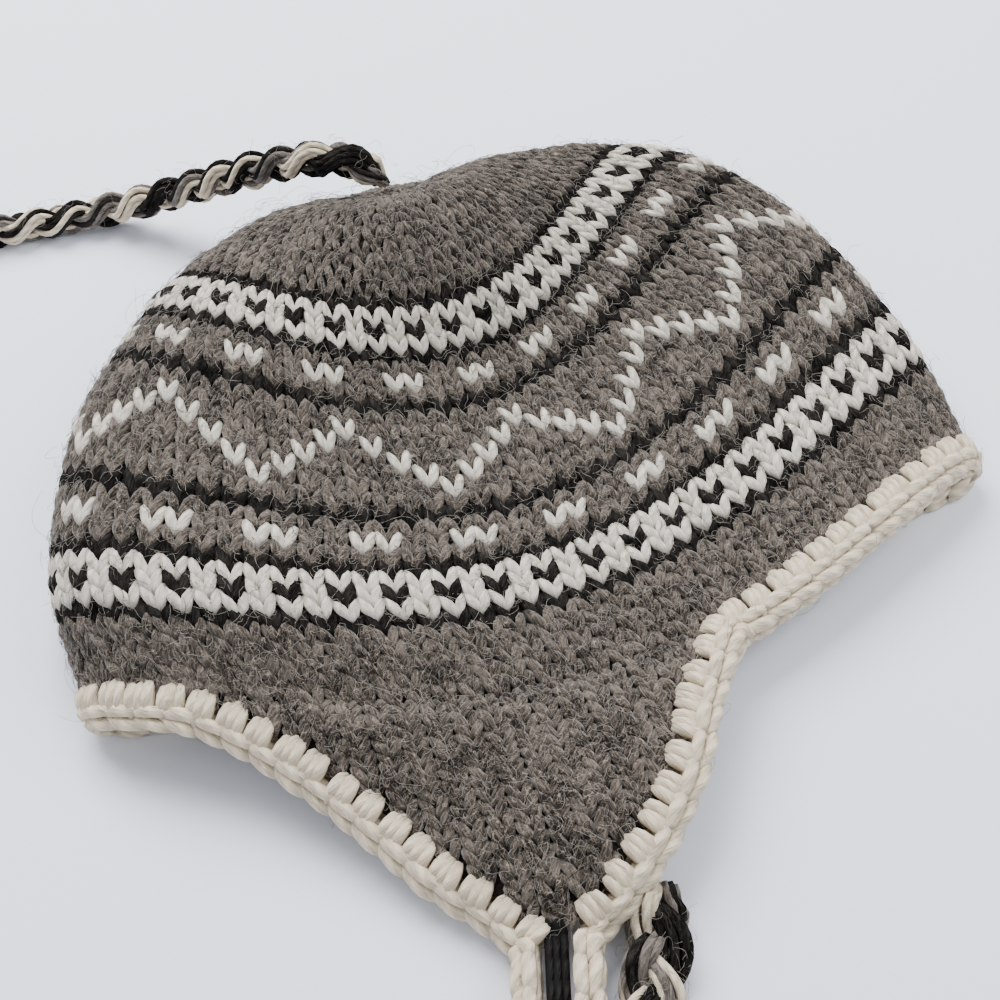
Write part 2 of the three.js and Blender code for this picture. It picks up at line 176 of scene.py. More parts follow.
class Wall:
    """The wall as a grid read by turn (0 to 1 round the ring) and row."""

    def __init__(self, step=0.2, columns=480):
        self.step = step
        self.columns = columns
        rows = np.arange(0, CROWN_ROW + step / 2, step)
        turn = np.linspace(math.pi, -math.pi, 721)
        grid = []
        for r in rows:
            ring = wall(turn, np.full(turn.shape, r))
            run = np.r_[0, np.cumsum(np.linalg.norm(np.diff(ring, axis=0), axis=1))]
            at = np.linspace(0, run[-1], columns, endpoint=False)
            angle = np.interp(at, run, turn)
            grid.append(wall(angle, np.full(angle.shape, r)))
        self.p = np.array(grid)
        self.length = np.linalg.norm(np.diff(self.p, axis=1, append=self.p[:, :1]), axis=2).sum(1)
        across = np.roll(self.p, -1, 1) - np.roll(self.p, 1, 1)
        along = np.gradient(self.p, axis=0)
        self.n = unit(np.cross(across, along))

    def read(self, turn, row):
        """Points and outward directions; past the first and last rows the cloth goes straight on."""
        x = (np.asarray(turn, float) % 1.0) * self.columns
        y = np.asarray(row, float) / self.step
        top = len(self.p) - 1
        over = np.minimum(y, 0) + np.maximum(y - top, 0)
        y = np.clip(y, 0, top - 1e-6)
        i = y.astype(int)
        j = x.astype(int) % self.columns
        k = (j + 1) % self.columns
        u = (x - np.floor(x))[..., None]
        v = (y - i)[..., None]

        def mix(g):
            a = g[i, j] * (1 - u) + g[i, k] * u
            b = g[i + 1, j] * (1 - u) + g[i + 1, k] * u
            return a * (1 - v) + b * v, b - a

        point, rise = mix(self.p)
        return point + rise * over[..., None], unit(mix(self.n)[0])

    def size(self, row):
        """Length round the ring at a row."""
        return np.interp(row, np.arange(len(self.p)) * self.step, self.length)


WALL = Wall()


def rim_turn(side, x):
    """Turn round the rim where it has this x, on the upper (1) or under (-1) layer."""
    k = read_table(SECTIONS, np.array(0.0))
    angle = side * math.acos((x - k[1]) / k[2])
    ring = np.linspace(math.pi, -math.pi, 2001)
    p = wall(ring, np.zeros(ring.shape))
    run = np.r_[0, np.cumsum(np.linalg.norm(np.diff(p, axis=0), axis=1))]
    return float(np.interp(-angle, -ring, run) / run[-1])


class Flap:
    """An ear flap, read by wale (counted round the rim) and row below the rim."""

    def __init__(self, table, side):
        self.table = table
        self.side = side
        first = table[0]
        self.a = rim_turn(side, first[1])
        self.b = rim_turn(side, first[4])
        chord = first[4:7] - first[1:4]
        self.width = np.linalg.norm(chord[:2])
        self.e = chord[:2] / self.width
        self.origin = first[1:3]
        tip = (table[-1][1:3] + table[-1][4:6]) / 2
        middle = (first[1:3] + first[4:6]) / 2
        self.drift = float((tip - middle) @ self.e) / FLAP_ROWS
        self.wales = (self.b - self.a) * WALES

    def edges(self, row):
        """Wale numbers of the left and right edges at a row, from 0 at the left corner."""
        k = read_table(self.table, row)
        left = (k[..., 1:3] - self.origin) @ self.e - self.drift * row
        right = (k[..., 4:6] - self.origin) @ self.e - self.drift * row
        scale = self.wales / self.width
        return left * scale, right * scale

    def place(self, u, row):
        """Points of the middle of the cloth, from its left edge (u 0) to its right one (u 1)."""
        k = read_table(self.table, np.clip(row, 0, FLAP_ROWS))
        u = np.asarray(u, float)
        w = u[..., None]
        p = k[..., 1:4] * (1 - w) + k[..., 4:7] * w
        p[..., 2] += k[..., 7] * 4 * u * (1 - u)
        chord = self.table[0][1:4] * (1 - w) + self.table[0][4:7] * w
        rim, _ = WALL.read(self.a + (self.b - self.a) * u, np.zeros(u.shape))
        fade = np.clip(1 - row / FLAP_ROWS, 0, 1) ** 2.5
        out = p + (rim - chord) * fade[..., None]
        beyond = np.maximum(row - FLAP_ROWS, 0)[..., None]
        return out + beyond * BEYOND_TIP

    def read(self, wale, row):
        """Points and outward directions, by wale number as edges gives them."""
        row = np.asarray(row, float)
        left, right = self.edges(np.clip(row, 0, FLAP_ROWS))
        u = (wale - left) / np.maximum(right - left, 0.4)
        return self.at(u, row)

    def at(self, u, row):
        """Points and outward directions, by share of the width."""
        u, row = np.broadcast_arrays(np.asarray(u, float), np.asarray(row, float))
        e = 0.02
        across = self.place(u + e, row) - self.place(u - e, row)
        along = self.place(u, row + 0.2) - self.place(u, np.maximum(row - 0.2, 0))
        n = unit(np.cross(along, across) * self.side)
        return self.place(u, row), n


UPPER = Flap(UPPER_FLAP, 1)
# The rim runs back along the floor, so the under flap's edges change places
UNDER = Flap(UNDER_FLAP[:, [0, 4, 5, 6, 1, 2, 3, 7]], -1)


def to_metres(points):
    """Points in the part's frame, kept off the floor."""
    moved = points + ORIGIN
    moved[..., 2] = np.maximum(moved[..., 2], LOWEST_Z)
    return moved * 0.001


def make_object(name, points, faces, uv, tone, materials, face_material=None, painted_hollow_shade=None):
    """Smooth mesh object from arrays in millimetres, with a yarn UV map and, for each point, its
    tone and how much painted shade it gets for lying in a hollow between strands."""
    mesh = bpy.data.meshes.new(name)
    points = to_metres(np.asarray(points, float).reshape(-1, 3))
    faces = np.asarray(faces, np.int32)
    count, sides = faces.shape
    mesh.vertices.add(len(points))
    mesh.vertices.foreach_set("co", points.ravel())
    mesh.loops.add(count * sides)
    mesh.loops.foreach_set("vertex_index", faces.ravel())
    mesh.polygons.add(count)
    mesh.polygons.foreach_set("loop_start", np.arange(count, dtype=np.int32) * sides)
    mesh.update(calc_edges=True)
    mesh.polygons.foreach_set("use_smooth", np.ones(count, bool))
    layer = mesh.uv_layers.new(name="yarn")
    layer.data.foreach_set("uv", np.asarray(uv, np.float32).ravel())
    for label, values in (("tone", tone), ("painted_hollow_shade", painted_hollow_shade)):
        if values is not None:
            layer = mesh.attributes.new(label, "FLOAT", "POINT")
            layer.data.foreach_set("value", np.asarray(values, np.float32).ravel())
    for m in materials:
        mesh.materials.append(m)
    if face_material is not None:
        mesh.polygons.foreach_set("material_index", np.asarray(face_material, np.int32))
    mesh.validate()
    obj = bpy.data.objects.new(name, mesh)
    bpy.context.scene.collection.objects.link(obj)
    return obj


def declare(obj, node=None):
    """Hangs a piece on the root body and, if a node is given, hides the imported node that it stands for."""
    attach(obj, "root")
    if node:
        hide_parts(node)


UV_LENGTH = 4.0  # mm along a yarn for one unit of its UV map


def tubes(paths, radii, normals, sides=6):
    """Many tubes at once, from paths (n, k, 3), radii (n, k) and normals (n, k, 3) or (n, 1, 3).
    Returns points, quads, corner UVs (along and round) and the tube number of each point."""
    n, k, _ = paths.shape
    tangent = unit(np.gradient(paths, axis=1))
    side = unit(np.cross(tangent, np.broadcast_to(normals, paths.shape)))
    up = unit(np.cross(side, tangent))
    angle = np.linspace(0, 2 * math.pi, sides, endpoint=False) - math.pi / 2
    ring = np.cos(angle)[:, None] * side[:, :, None] + np.sin(angle)[:, None] * up[:, :, None]
    points = paths[:, :, None] + ring * radii[:, :, None, None]
    index = np.arange(n * k * sides).reshape(n, k, sides)
    nxt = np.roll(index, -1, axis=2)
    quads = np.stack([index[:, :-1], index[:, 1:], nxt[:, 1:], nxt[:, :-1]], -1).reshape(-1, 4)
    step = np.linalg.norm(np.diff(paths, axis=1), axis=2)
    run = np.concatenate([np.zeros((n, 1)), np.cumsum(step, 1)], 1) / UV_LENGTH
    near, far = run[:, :-1, None], run[:, 1:, None]
    low = np.arange(sides) / sides
    high = low + 1.0 / sides
    shape = (n, k - 1, sides)
    uv = np.stack([
        np.stack([np.broadcast_to(v, shape) for v in corner], -1)
        for corner in ((near, low), (far, low), (far, high), (near, high))
    ], -2)
    which = np.repeat(np.arange(n), k * sides)
    return points.reshape(-1, 3), quads, uv.reshape(-1, 2), which


def catmull(points, count):
    """Even points on a smooth curve through a few points, and its length."""
    pts = np.asarray(points, float)
    pts = np.vstack([2 * pts[0] - pts[1], pts, 2 * pts[-1] - pts[-2]])
    dense = []
    t = np.linspace(0, 1, 24, endpoint=False)[:, None]
    for i in range(1, len(pts) - 2):
        p0, p1, p2, p3 = pts[i - 1:i + 3]
        d = np.sqrt(np.maximum(np.linalg.norm(np.diff(pts[i - 1:i + 3], axis=0), axis=1), 1e-6))
        m1 = d[1] * ((p1 - p0) / d[0] - (p2 - p0) / (d[0] + d[1]) + (p2 - p1) / d[1])
        m2 = d[1] * ((p2 - p1) / d[1] - (p3 - p1) / (d[1] + d[2]) + (p3 - p2) / d[2])
        a = 2 * t**3 - 3 * t**2 + 1
        b = t**3 - 2 * t**2 + t
        c = t**3 - t**2
        dense.append(a * p1 + b * m1 + (1 - a) * p2 + c * m2)
    dense.append(pts[-2][None])
    dense = np.vstack(dense)
    run = np.r_[0, np.cumsum(np.linalg.norm(np.diff(dense, axis=0), axis=1))]
    at = np.linspace(0, run[-1], count)
    return np.stack([np.interp(at, run, dense[:, i]) for i in range(3)], -1), run[-1]


def frames_along(path):
    """Steady upward and sideways directions at each point of a path."""
    tangent = unit(np.gradient(path, axis=0))
    up = np.array([0.0, 0.0, 1.0])
    ups = []
    for t in tangent:
        up = up - t * float(up @ t)
        up = up / max(np.linalg.norm(up), 1e-9)
        ups.append(up)
    ups = np.array(ups)
    return ups, np.cross(tangent, ups)


# Yarns of the three bundles of a plait: 0 cream, 1 black, 2 grey-brown
PLAIT_YARNS = ((0, 0, 0, 1, 0, 0, 2), (1, 1, 1, 1, 1, 0, 1), (2, 2, 1, 2, 0, 2, 1))
PLAIT_STEP = 1.8  # mm between the points of a yarn
PLAIT_PITCH = 40.0  # mm for a bundle to cross over and come back
BUNDLE_PITCH = 75.0  # mm for a yarn to turn once round its bundle
PLAIT_SIDES = 5


def plait(name, line, radius, seed, materials):
    """Cord of three bundles plaited round a line. Returns it with the line's points and length."""
    rng = np.random.default_rng(seed)
    path, length = catmull(line, int(np.linalg.norm(np.diff(line, axis=0), axis=1).sum() / PLAIT_STEP))
    up, side = frames_along(path)
    run = np.linspace(0, length, len(path))
    full = radius * 1.22
    across = full * 0.52
    close = np.clip(run / 6.0, 0.55, 1.0)
    paths, yarns = [], []
    for number, bundle in enumerate(PLAIT_YARNS):
        phase = 2 * math.pi * (run / PLAIT_PITCH + number / 3)
        centre_a = across * np.sin(phase) * close
        centre_b = full * 0.36 * np.sin(2 * phase) * close
        slope = np.arctan2(across * 2 * math.pi / PLAIT_PITCH * np.cos(phase), 1.0)
        for i, yarn in enumerate(bundle):
            turn = 2 * math.pi * (i / len(bundle) + run / BUNDLE_PITCH + rng.uniform(0, 0.05))
            spread = full * 0.37 * (1.0 + 0.18 * np.sin(run / 9 + rng.uniform(0, 6))) * close
            a = centre_a + spread * np.cos(turn) * np.cos(slope)
            b = centre_b + spread * 0.95 * np.sin(turn)
            paths.append(path + side * a[:, None] + up * b[:, None])
            yarns.append(yarn)
    radii = np.full((len(paths), len(path)), full * 0.155)
    radii[:, [0, -1]] *= 0.6
    points, quads, uv, which = tubes(np.array(paths), radii, up[None], sides=PLAIT_SIDES)
    tone = np.random.default_rng(seed + 1).uniform(0, 1, len(paths))[which]
    face_yarn = np.repeat(yarns, len(quads) // len(paths))
    return make_object(name, points, quads, uv, tone, materials, face_yarn), path, length


KNOT_STRANDS = 7
TASSEL_ENDS = 22
NEARLY_UP = np.array([[[0.02, 0.03, 1.0]]])  # never quite along a strand


def tassel(name, line, knot_radius, length, seed, materials):
    """Knot at a cord's end, and the loose yarn ends lying out of it on the floor."""
    rng = np.random.default_rng(seed)
    end = line[-1]
    way = unit((line[-1] - line[-2]) * np.array([1, 1, 0]))
    side = np.array([-way[1], way[0], 0.0])
    knot = end + way * (knot_radius + 0.4)
    knot[2] = knot_radius * 0.85 + 0.1
    paths, radii, yarns = [], [], []
    t = np.linspace(0, 1, 40)
    for i in range(KNOT_STRANDS):
        turn = 2 * math.pi * (t * 1.15 + i / KNOT_STRANDS)
        tilt = math.pi * i / KNOT_STRANDS
        ring = (np.cos(turn)[:, None] * (side * math.cos(tilt) + np.array([0, 0, 1]) * math.sin(tilt))
                + np.sin(turn)[:, None] * way * 0.95)
        paths.append(knot + ring * (knot_radius * 0.72))
        radii.append(np.full(len(t), knot_radius * 0.27))
        yarns.append((0, 1, 2)[i % 3])
    for i in range(TASSEL_ENDS):
        out = rng.normal(0, 0.15)
        lift = rng.uniform(0.8, 5.5)
        reach = length * rng.uniform(0.86, 1.0)
        bend = rng.normal(0, 2.2)
        root = knot + way * knot_radius * 0.5 + side * rng.normal(0, 1.5)
        root[2] += rng.normal(0, 1.2)
        tip = knot + way * (knot_radius * 0.45 + reach) * math.cos(out) + side * (math.sin(out) * length)
        tip[2] = lift
        p = root[None] * (1 - t[:, None]) + tip[None] * t[:, None]
        p = p + side * (bend * np.sin(math.pi * t))[:, None]
        p[:, 2] += 1.5 * np.sin(math.pi * t) + 0.3 * np.sin(9 * t + i)
        paths.append(p)
        radii.append(np.linspace(1.15, 1.25, len(t)))
        yarns.append((1, 1, 2, 0)[i % 4])
    points, quads, uv, which = tubes(np.array(paths), np.array(radii), NEARLY_UP)
    tone = rng.uniform(0, 1, len(paths))[which]
    face_yarn = np.repeat(yarns, len(quads) // len(paths))
    return make_object(name, points, quads, uv, tone, materials, face_yarn)


CLOTH_OUTER = 0.7  # mm from the middle of the cloth to the backing's outer skin
CLOTH_INNER = 2.3


def cloth(name, points, normals, closed, flip, material):
    """Dark backing sheet under the stitches, the cloth behind them with painted shade where it shows
    between them, from a grid of points by row and column. Closed joins the last column to the first,
    and flip turns the faces where the grid runs the other way."""
    rows, columns = points.shape[:2]
    skins = np.stack([points + normals * CLOTH_OUTER, points - normals * CLOTH_INNER])
    index = np.arange(2 * rows * columns).reshape(2, rows, columns)
    nxt = np.roll(index, -1, axis=2)
    steps = columns if closed else columns - 1
    a, b = index[:, :-1, :steps], nxt[:, :-1, :steps]
    c, d = nxt[:, 1:, :steps], index[:, 1:, :steps]
    quads = [np.stack([a[0], b[0], c[0], d[0]], -1).reshape(-1, 4),
             np.stack([b[1], a[1], d[1], c[1]], -1).reshape(-1, 4)]
    for r, turn in ((0, 1), (rows - 1, -1)):
        i, j = index[:, r, :steps], nxt[:, r, :steps]
        quads.append(np.stack([i[0], i[1], j[1], j[0]], -1)[:, ::turn])
    if not closed:
        for col, turn in ((0, -1), (columns - 1, 1)):
            i = index[:, :, col]
            quads.append(np.stack([i[0, :-1], i[1, :-1], i[1, 1:], i[0, 1:]], -1)[:, ::turn])
    faces = np.vstack(quads)
    if flip:
        faces = faces[:, ::-1]
    u, v = np.meshgrid(np.arange(columns), np.arange(rows))
    grid = np.tile(np.stack([u.ravel(), v.ravel()], -1) * 0.5, (2, 1))
    return make_object(name, skins, faces, grid[faces.ravel()], np.full(len(grid), 0.5), [material])


def middle_of(ring, before):
    """Middle of a ring, and the direction from an earlier ring's middle to it."""
    middle = ring.mean(0)
    return middle, unit(middle - before.mean(0))


def gather(points, normals):
    """Draws the last row of the crown in to its middle, so that no hole is left."""
    middle, out = middle_of(points[-1], points[-5])
    share = np.array([0.66, 0.33, 0.03])[:, None, None]
    added = middle + (points[-1] - middle) * share
    return np.concatenate([points, added]), np.concatenate([normals, np.broadcast_to(out, added.shape)])


# One leg of a stitch: wales to the side, rows along, mm outwards from mid cloth, mm radius
LEG = np.array([
    [0.03, -0.50, 0.2, 0.95],
    [0.08, -0.27, 0.9, 1.28],
    [0.16, 0.02, 1.35, 1.42],
    [0.245, 0.34, 1.5, 1.48],
    [0.32, 0.66, 1.4, 1.45],
    [0.375, 0.97, 0.95, 1.32],
    [0.385, 1.22, 0.1, 0.95],
])
# How far each point of a strand lies in the gaps between its neighbours, which sets how much painted shade
# darkens its colour there
LEG_HOLLOW_SHADE = np.array([1.0, 0.5, 0.1, 0.0, 0.05, 0.45, 1.0])
LOOP_HOLLOW_SHADE = np.array([0.75, 0.2, 0.0, 0.0, 0.0, 0.15, 0.6])
GREY, BLACK, WHITE = 0, 1, 2
REPEAT = 8  # wales of the chart
HEART_ROWS = (7, 27)
PAIR_ROWS = {11: (0, 1), 23: (3, 0)}  # row, and which of every four wales are white
ZIGZAG_TOP = 19  # from here the white line comes down one row a wale for half a repeat
# Yarn of the rows in one colour; the others are grey
PLAIN_ROWS = {
    5: BLACK, 6: WHITE, 8: WHITE, 9: BLACK, 13: BLACK, 21: BLACK, 25: BLACK, 26: WHITE, 28: WHITE, 29: BLACK,
}


def chart(row, wale):
    """Yarn of each stitch of a row of the patterned wall."""
    s = wale % REPEAT
    if row in HEART_ROWS:
        return np.where(s % 2 == 1, BLACK, WHITE)
    if row in PAIR_ROWS:
        return np.where(np.isin(s % 4, PAIR_ROWS[row]), WHITE, GREY)
    if ZIGZAG_TOP - REPEAT // 2 <= row <= ZIGZAG_TOP:
        return np.where(np.minimum(s, REPEAT - s) == ZIGZAG_TOP - row, WHITE, GREY)
    return np.full(wale.shape, PLAIN_ROWS.get(row, GREY))


def stitch_legs(surface, wale, row, scale, lift, down, seed):
    """Paths, radii and normals of both legs of many stitches, on a surface read by wale and row.
    Down is for cloth whose rows are counted against the way it was knitted."""
    rng = np.random.default_rng(seed)
    n = len(wale)
    paths, radii, normals = [], [], []
    wale = wale + rng.normal(0, 0.025, n)
    row = row + rng.normal(0, 0.035, n)
    for side in (-1, 1):
        wobble = rng.normal(0, 0.02, (n, 1))
        w = wale[:, None] + side * LEG[:, 0] * (1 + rng.normal(0, 0.05, (n, 1))) + wobble
        r = row[:, None] + LEG[:, 1] * (-1 if down else 1)
        p, normal = surface(w, r)
        high = LEG[:, 2] + lift[:, None] + rng.normal(0, 0.14, (n, 1))
        paths.append(p + normal * high[..., None])
        radii.append(LEG[:, 3] * scale[:, None] * (1 + rng.normal(0, 0.05, (n, 1))))
        normals.append(normal)
    return np.concatenate(paths), np.concatenate(radii), np.concatenate(normals)


def knit_object(name, groups, material, sides=6):
    """One piece from the legs of many stitches."""
    paths, radii, normals = (np.concatenate([g[i] for g in groups]) for i in range(3))
    points, quads, uv, which = tubes(paths, radii, normals, sides=sides)
    tone = np.random.default_rng(len(paths)).uniform(0, 1, len(paths))[which]
    # Painted shade: the legs' ends, where they go under their neighbours, are darkened
    painted_hollow_shade = np.tile(np.repeat(LEG_HOLLOW_SHADE, sides), len(paths))
    return make_object(name, points, quads, uv, tone, [material], painted_hollow_shade=painted_hollow_shade)


def wall_surface(wales):
    """Surface read by wale and row; near the left fold the knitting has slipped round and down."""
    def read(w, r):
        turn = (w - FIRST_WALE) / wales
        left = np.exp(-(turn / 0.13) ** 2)
        middle = np.exp(-((turn - 0.15) / 0.17) ** 2) * np.exp(-((r - 13) / 6.0) ** 2)
        return WALL.read(turn + 0.009 * left + 0.004 * middle, r - 0.8 * middle)
    return read


TRIM_REACH = {UPPER: 4.6, UNDER: 0.4}  # rows that the trim runs past the flaps' tips
TRIM_LOWEST_Z = 3.2


def trim_line():
    """The line the crochet follows, along the rim and round both flaps, with its outward normals,
    its directions away from the cloth, and its length."""
    points, normals = [], []

    def add(p, n):
        points.append(p)
        normals.append(n)

    add(*WALL.read(np.linspace(0, UPPER.a, 60)[:-1], np.zeros(59)))
    for flap, reach in TRIM_REACH.items():
        rows = np.linspace(0, FLAP_ROWS + reach, 70)
        add(*flap.at(np.zeros(70), rows))
        add(*flap.at(np.ones(70), rows[::-1]))
        after = UNDER.a if flap is UPPER else 1.0
        turn = np.linspace(flap.b, after, 90)[1:-1]
        add(*WALL.read(turn, np.zeros(turn.shape)))
    p = np.concatenate(points)
    n = np.concatenate(normals)
    gap = np.linalg.norm(np.diff(p, axis=0, append=p[:1]), axis=1)
    run = np.r_[0, np.cumsum(gap)]
    total = run[-1]
    at = np.linspace(0, total, int(total), endpoint=False)
    p, n = (np.stack([np.interp(at, run, np.r_[v[:, i], v[0, i]]) for i in range(3)], -1) for v in (p, n))
    for _ in range(10):
        p, n = ((np.roll(v, 1, 0) + 2 * v + np.roll(v, -1, 0)) / 4 for v in (p, n))
    p[:, 2] = np.maximum(p[:, 2], TRIM_LOWEST_Z)
    n = unit(n)
    along = unit(np.roll(p, -1, 0) - np.roll(p, 1, 0))
    out = unit(np.cross(along, n))
    if out[len(out) // 20] @ np.array([0, -1, 0]) < 0:
        out = -out
    return p, n, out, total


class Trim:
    """The trim's line, read by length."""

    def __init__(self):
        self.p, self.n, self.out, self.total = trim_line()

    def read(self, t, w, h):
        """Point at a length along the line, a distance out from the cloth and one above it."""
        count = len(self.p)
        x = (np.asarray(t, float) / self.total * count) % count
        i = x.astype(int) % count
        k = (i + 1) % count
        f = (x - np.floor(x))[..., None]
        mix = lambda g: g[i] * (1 - f) + g[k] * f
        return mix(self.p) + mix(self.out) * w[..., None] + mix(self.n) * h[..., None], mix(self.n)


# Along an upright strand of the crochet: mm out from the trim's line, mm above it, share of the
# yarn's radius, and mm that an outer strand leans to its side
UPRIGHT_OUT = np.array([5.8, 4.9, 3.4, 1.5, -0.4, -1.9, -2.9])
UPRIGHT_HIGH = np.array([0.6, 1.9, 2.6, 2.95, 3.05, 2.6, 1.2])
UPRIGHT_FAT = np.array([0.85, 1.0, 1.06, 1.08, 1.06, 1.0, 0.75])
UPRIGHT_LEAN = np.array([1.9, 2.0, 2.1, 2.15, 2.1, 1.9, 1.5])
LOOP_FAT = np.array([0.75, 1.0, 1.12, 1.15, 1.12, 1.0, 0.75])
INNER_OUT = 3  # nearer the knit than this, the outer strands are a little shorter


def loops(trim, pitch, radius):
    """Strands of the crochet: scallops of three upright strands over the knit, and outside them
    a chain of slanted loops. Past the front flap's tip only the chain goes on."""
    rng = np.random.default_rng(11)
    count = int(trim.total / pitch)
    start = np.arange(count) * (trim.total / count)
    step = trim.total / count
    place, _ = trim.read(start, np.zeros(count), np.zeros(count))
    covered = (place[:, 1] > -99) | (place[:, 0] > -34)  # all but the front flap's tip
    found = []

    def strand(keep, t, w, h, thick, face):
        w = np.broadcast_to(w, t.shape)
        t, w, h, thick = np.broadcast_arrays(t[keep], w[keep], h[keep], thick)
        p, n = trim.read(t, w, h * face)
        vary = 1 + rng.normal(0, 0.05, (len(t), 1))
        found.append((p, thick * radius * vary, n * face))

    sway = rng.normal(0, 0.4, (count, 1))
    for face in (1, -1):
        for side, reach in ((-1, 0.92), (0, 1.0), (1, 0.95)):
            t = start[:, None] + side * UPRIGHT_LEAN + sway + rng.normal(0, 0.2, (count, 1))
            h = UPRIGHT_HIGH + rng.normal(0, 0.12, (count, 1))
            w = np.where(UPRIGHT_OUT < INNER_OUT, INNER_OUT + (UPRIGHT_OUT - INNER_OUT) * reach, UPRIGHT_OUT)
            w = w + rng.normal(0, 0.25, (count, 1))
            strand(covered, t, w, h, UPRIGHT_FAT, face)
        everywhere = np.ones(count, bool)
        for low, high, rise in ((4.3, 4.0, 2.7), (5.6, 7.6, 1.5)):
            s = np.linspace(0, 1, len(LOOP_FAT))
            t = start[:, None] + (s * 1.36 - 0.2) * step + rng.normal(0, 0.2, (count, 1))
            w = low + (high - low) * np.sin(s * math.pi * 0.62)
            h = rise + 0.9 * np.sin(s * math.pi) - 0.5 * s + rng.normal(0, 0.12, (count, 1))
            strand(everywhere, t, w, h, LOOP_FAT, face)
    return tuple(np.concatenate([f[i] for f in found]) for i in range(3))


def hairs(p, n, length, rise, curl, thick, steps, seed):
    """Fine curved fibres that start at points of the cloth and wander over it."""
    rng = np.random.default_rng(seed)
    count = len(p)
    side = unit(np.cross(n, unit(rng.normal(size=(count, 3)))))
    other = np.cross(n, side)
    t = np.linspace(0, 1, steps)
    bend = rng.normal(0, curl, (count, 1))
    wave = rng.normal(0, curl * 0.6, (count, 1))
    angle = bend * t + wave * np.sin(2 * math.pi * t + rng.uniform(0, 6, (count, 1)))
    size = length * rng.uniform(0.6, 1.3, (count, 1)) / (steps - 1)
    a = np.cumsum(np.cos(angle) * size, 1)
    b = np.cumsum(np.sin(angle) * size, 1)
    top = rise * rng.uniform(0.1, 1.0, (count, 1)) ** 1.5
    c = top * np.sin(math.pi * (0.12 + 0.8 * t)) + rng.normal(0, 0.03, (count, steps))
    path = p[:, None] + side[:, None] * a[..., None] + other[:, None] * b[..., None]
    path = path + n[:, None] * c[..., None]
    radii = np.broadcast_to(thick * np.array([1.0] * (steps - 1) + [0.35]), (count, steps))
    return path, radii, np.broadcast_to(n[:, None], path.shape)


def new_group(name, inputs, outputs):
    """Empty node group, with its input and output nodes."""
    tree = bpy.data.node_groups.new(name, "ShaderNodeTree")
    for way, sockets in (("INPUT", inputs), ("OUTPUT", outputs)):
        for label, sort in sockets:
            tree.interface.new_socket(name=label, in_out=way, socket_type=sort)
    return tree, tree.nodes.new("NodeGroupInput"), tree.nodes.new("NodeGroupOutput")


def math_node(tree, operation, a, b=None, c=None):
    """Result of a Math node, from sockets or numbers."""
    node = tree.nodes.new("ShaderNodeMath")
    node.operation = operation
    for socket, value in zip(node.inputs, (a, b, c)):
        if value is None:
            continue
        if isinstance(value, (int, float)):
            socket.default_value = value
        else:
            tree.links.new(value, socket)
    return node.outputs[0]


def noise_node(tree, vector, scale, detail):
    """Value of a Noise Texture."""
    node = tree.nodes.new("ShaderNodeTexNoise")
    node.inputs["Scale"].default_value = scale
    node.inputs["Detail"].default_value = detail
    tree.links.new(vector, node.inputs["Vector"])
    return node.outputs[0]


def range_node(tree, value, low, high):
    """The value from 0 at low to 1 at high."""
    node = tree.nodes.new("ShaderNodeMapRange")
    node.inputs["From Min"].default_value = low
    node.inputs["From Max"].default_value = high
    tree.links.new(value, node.inputs["Value"])
    return node.outputs[0]


